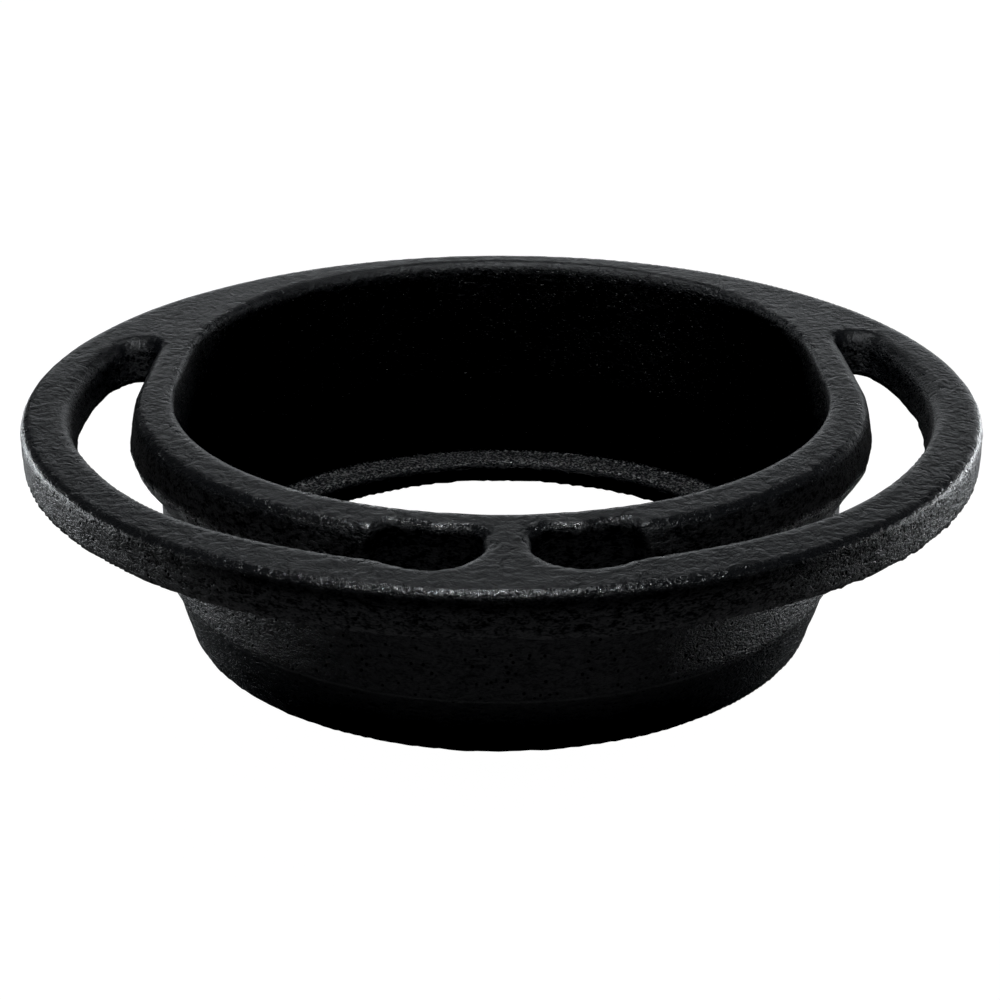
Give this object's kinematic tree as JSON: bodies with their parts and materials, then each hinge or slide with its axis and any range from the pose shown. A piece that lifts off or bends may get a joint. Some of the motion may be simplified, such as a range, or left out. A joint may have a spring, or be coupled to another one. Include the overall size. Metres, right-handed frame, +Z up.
{
  "type": "offset closet flange",
  "caption": "Cast-iron toilet flange: a flat ring with two long curved bolt slots on a short hub that sits behind the ring's centre, with an inner lip at the foot.",
  "frame": {"origin": "on the ring's axis, in the plane of the hub's foot", "axes": "+Z up along the ring's axis, towards the toilet; +Y towards the back, the side to which the hub is offset; X across, through the two bolt slots"},
  "size_m": [0.1778, 0.1778, 0.0508],
  "materials": {
    "coated_iron": "black dip coating over rough sand-cast iron, satin on the top face, with small glints on the edges"
  },
  "bodies": {
    "root": {"flange_casting": "coated_iron"}
  },
  "joints": []
}
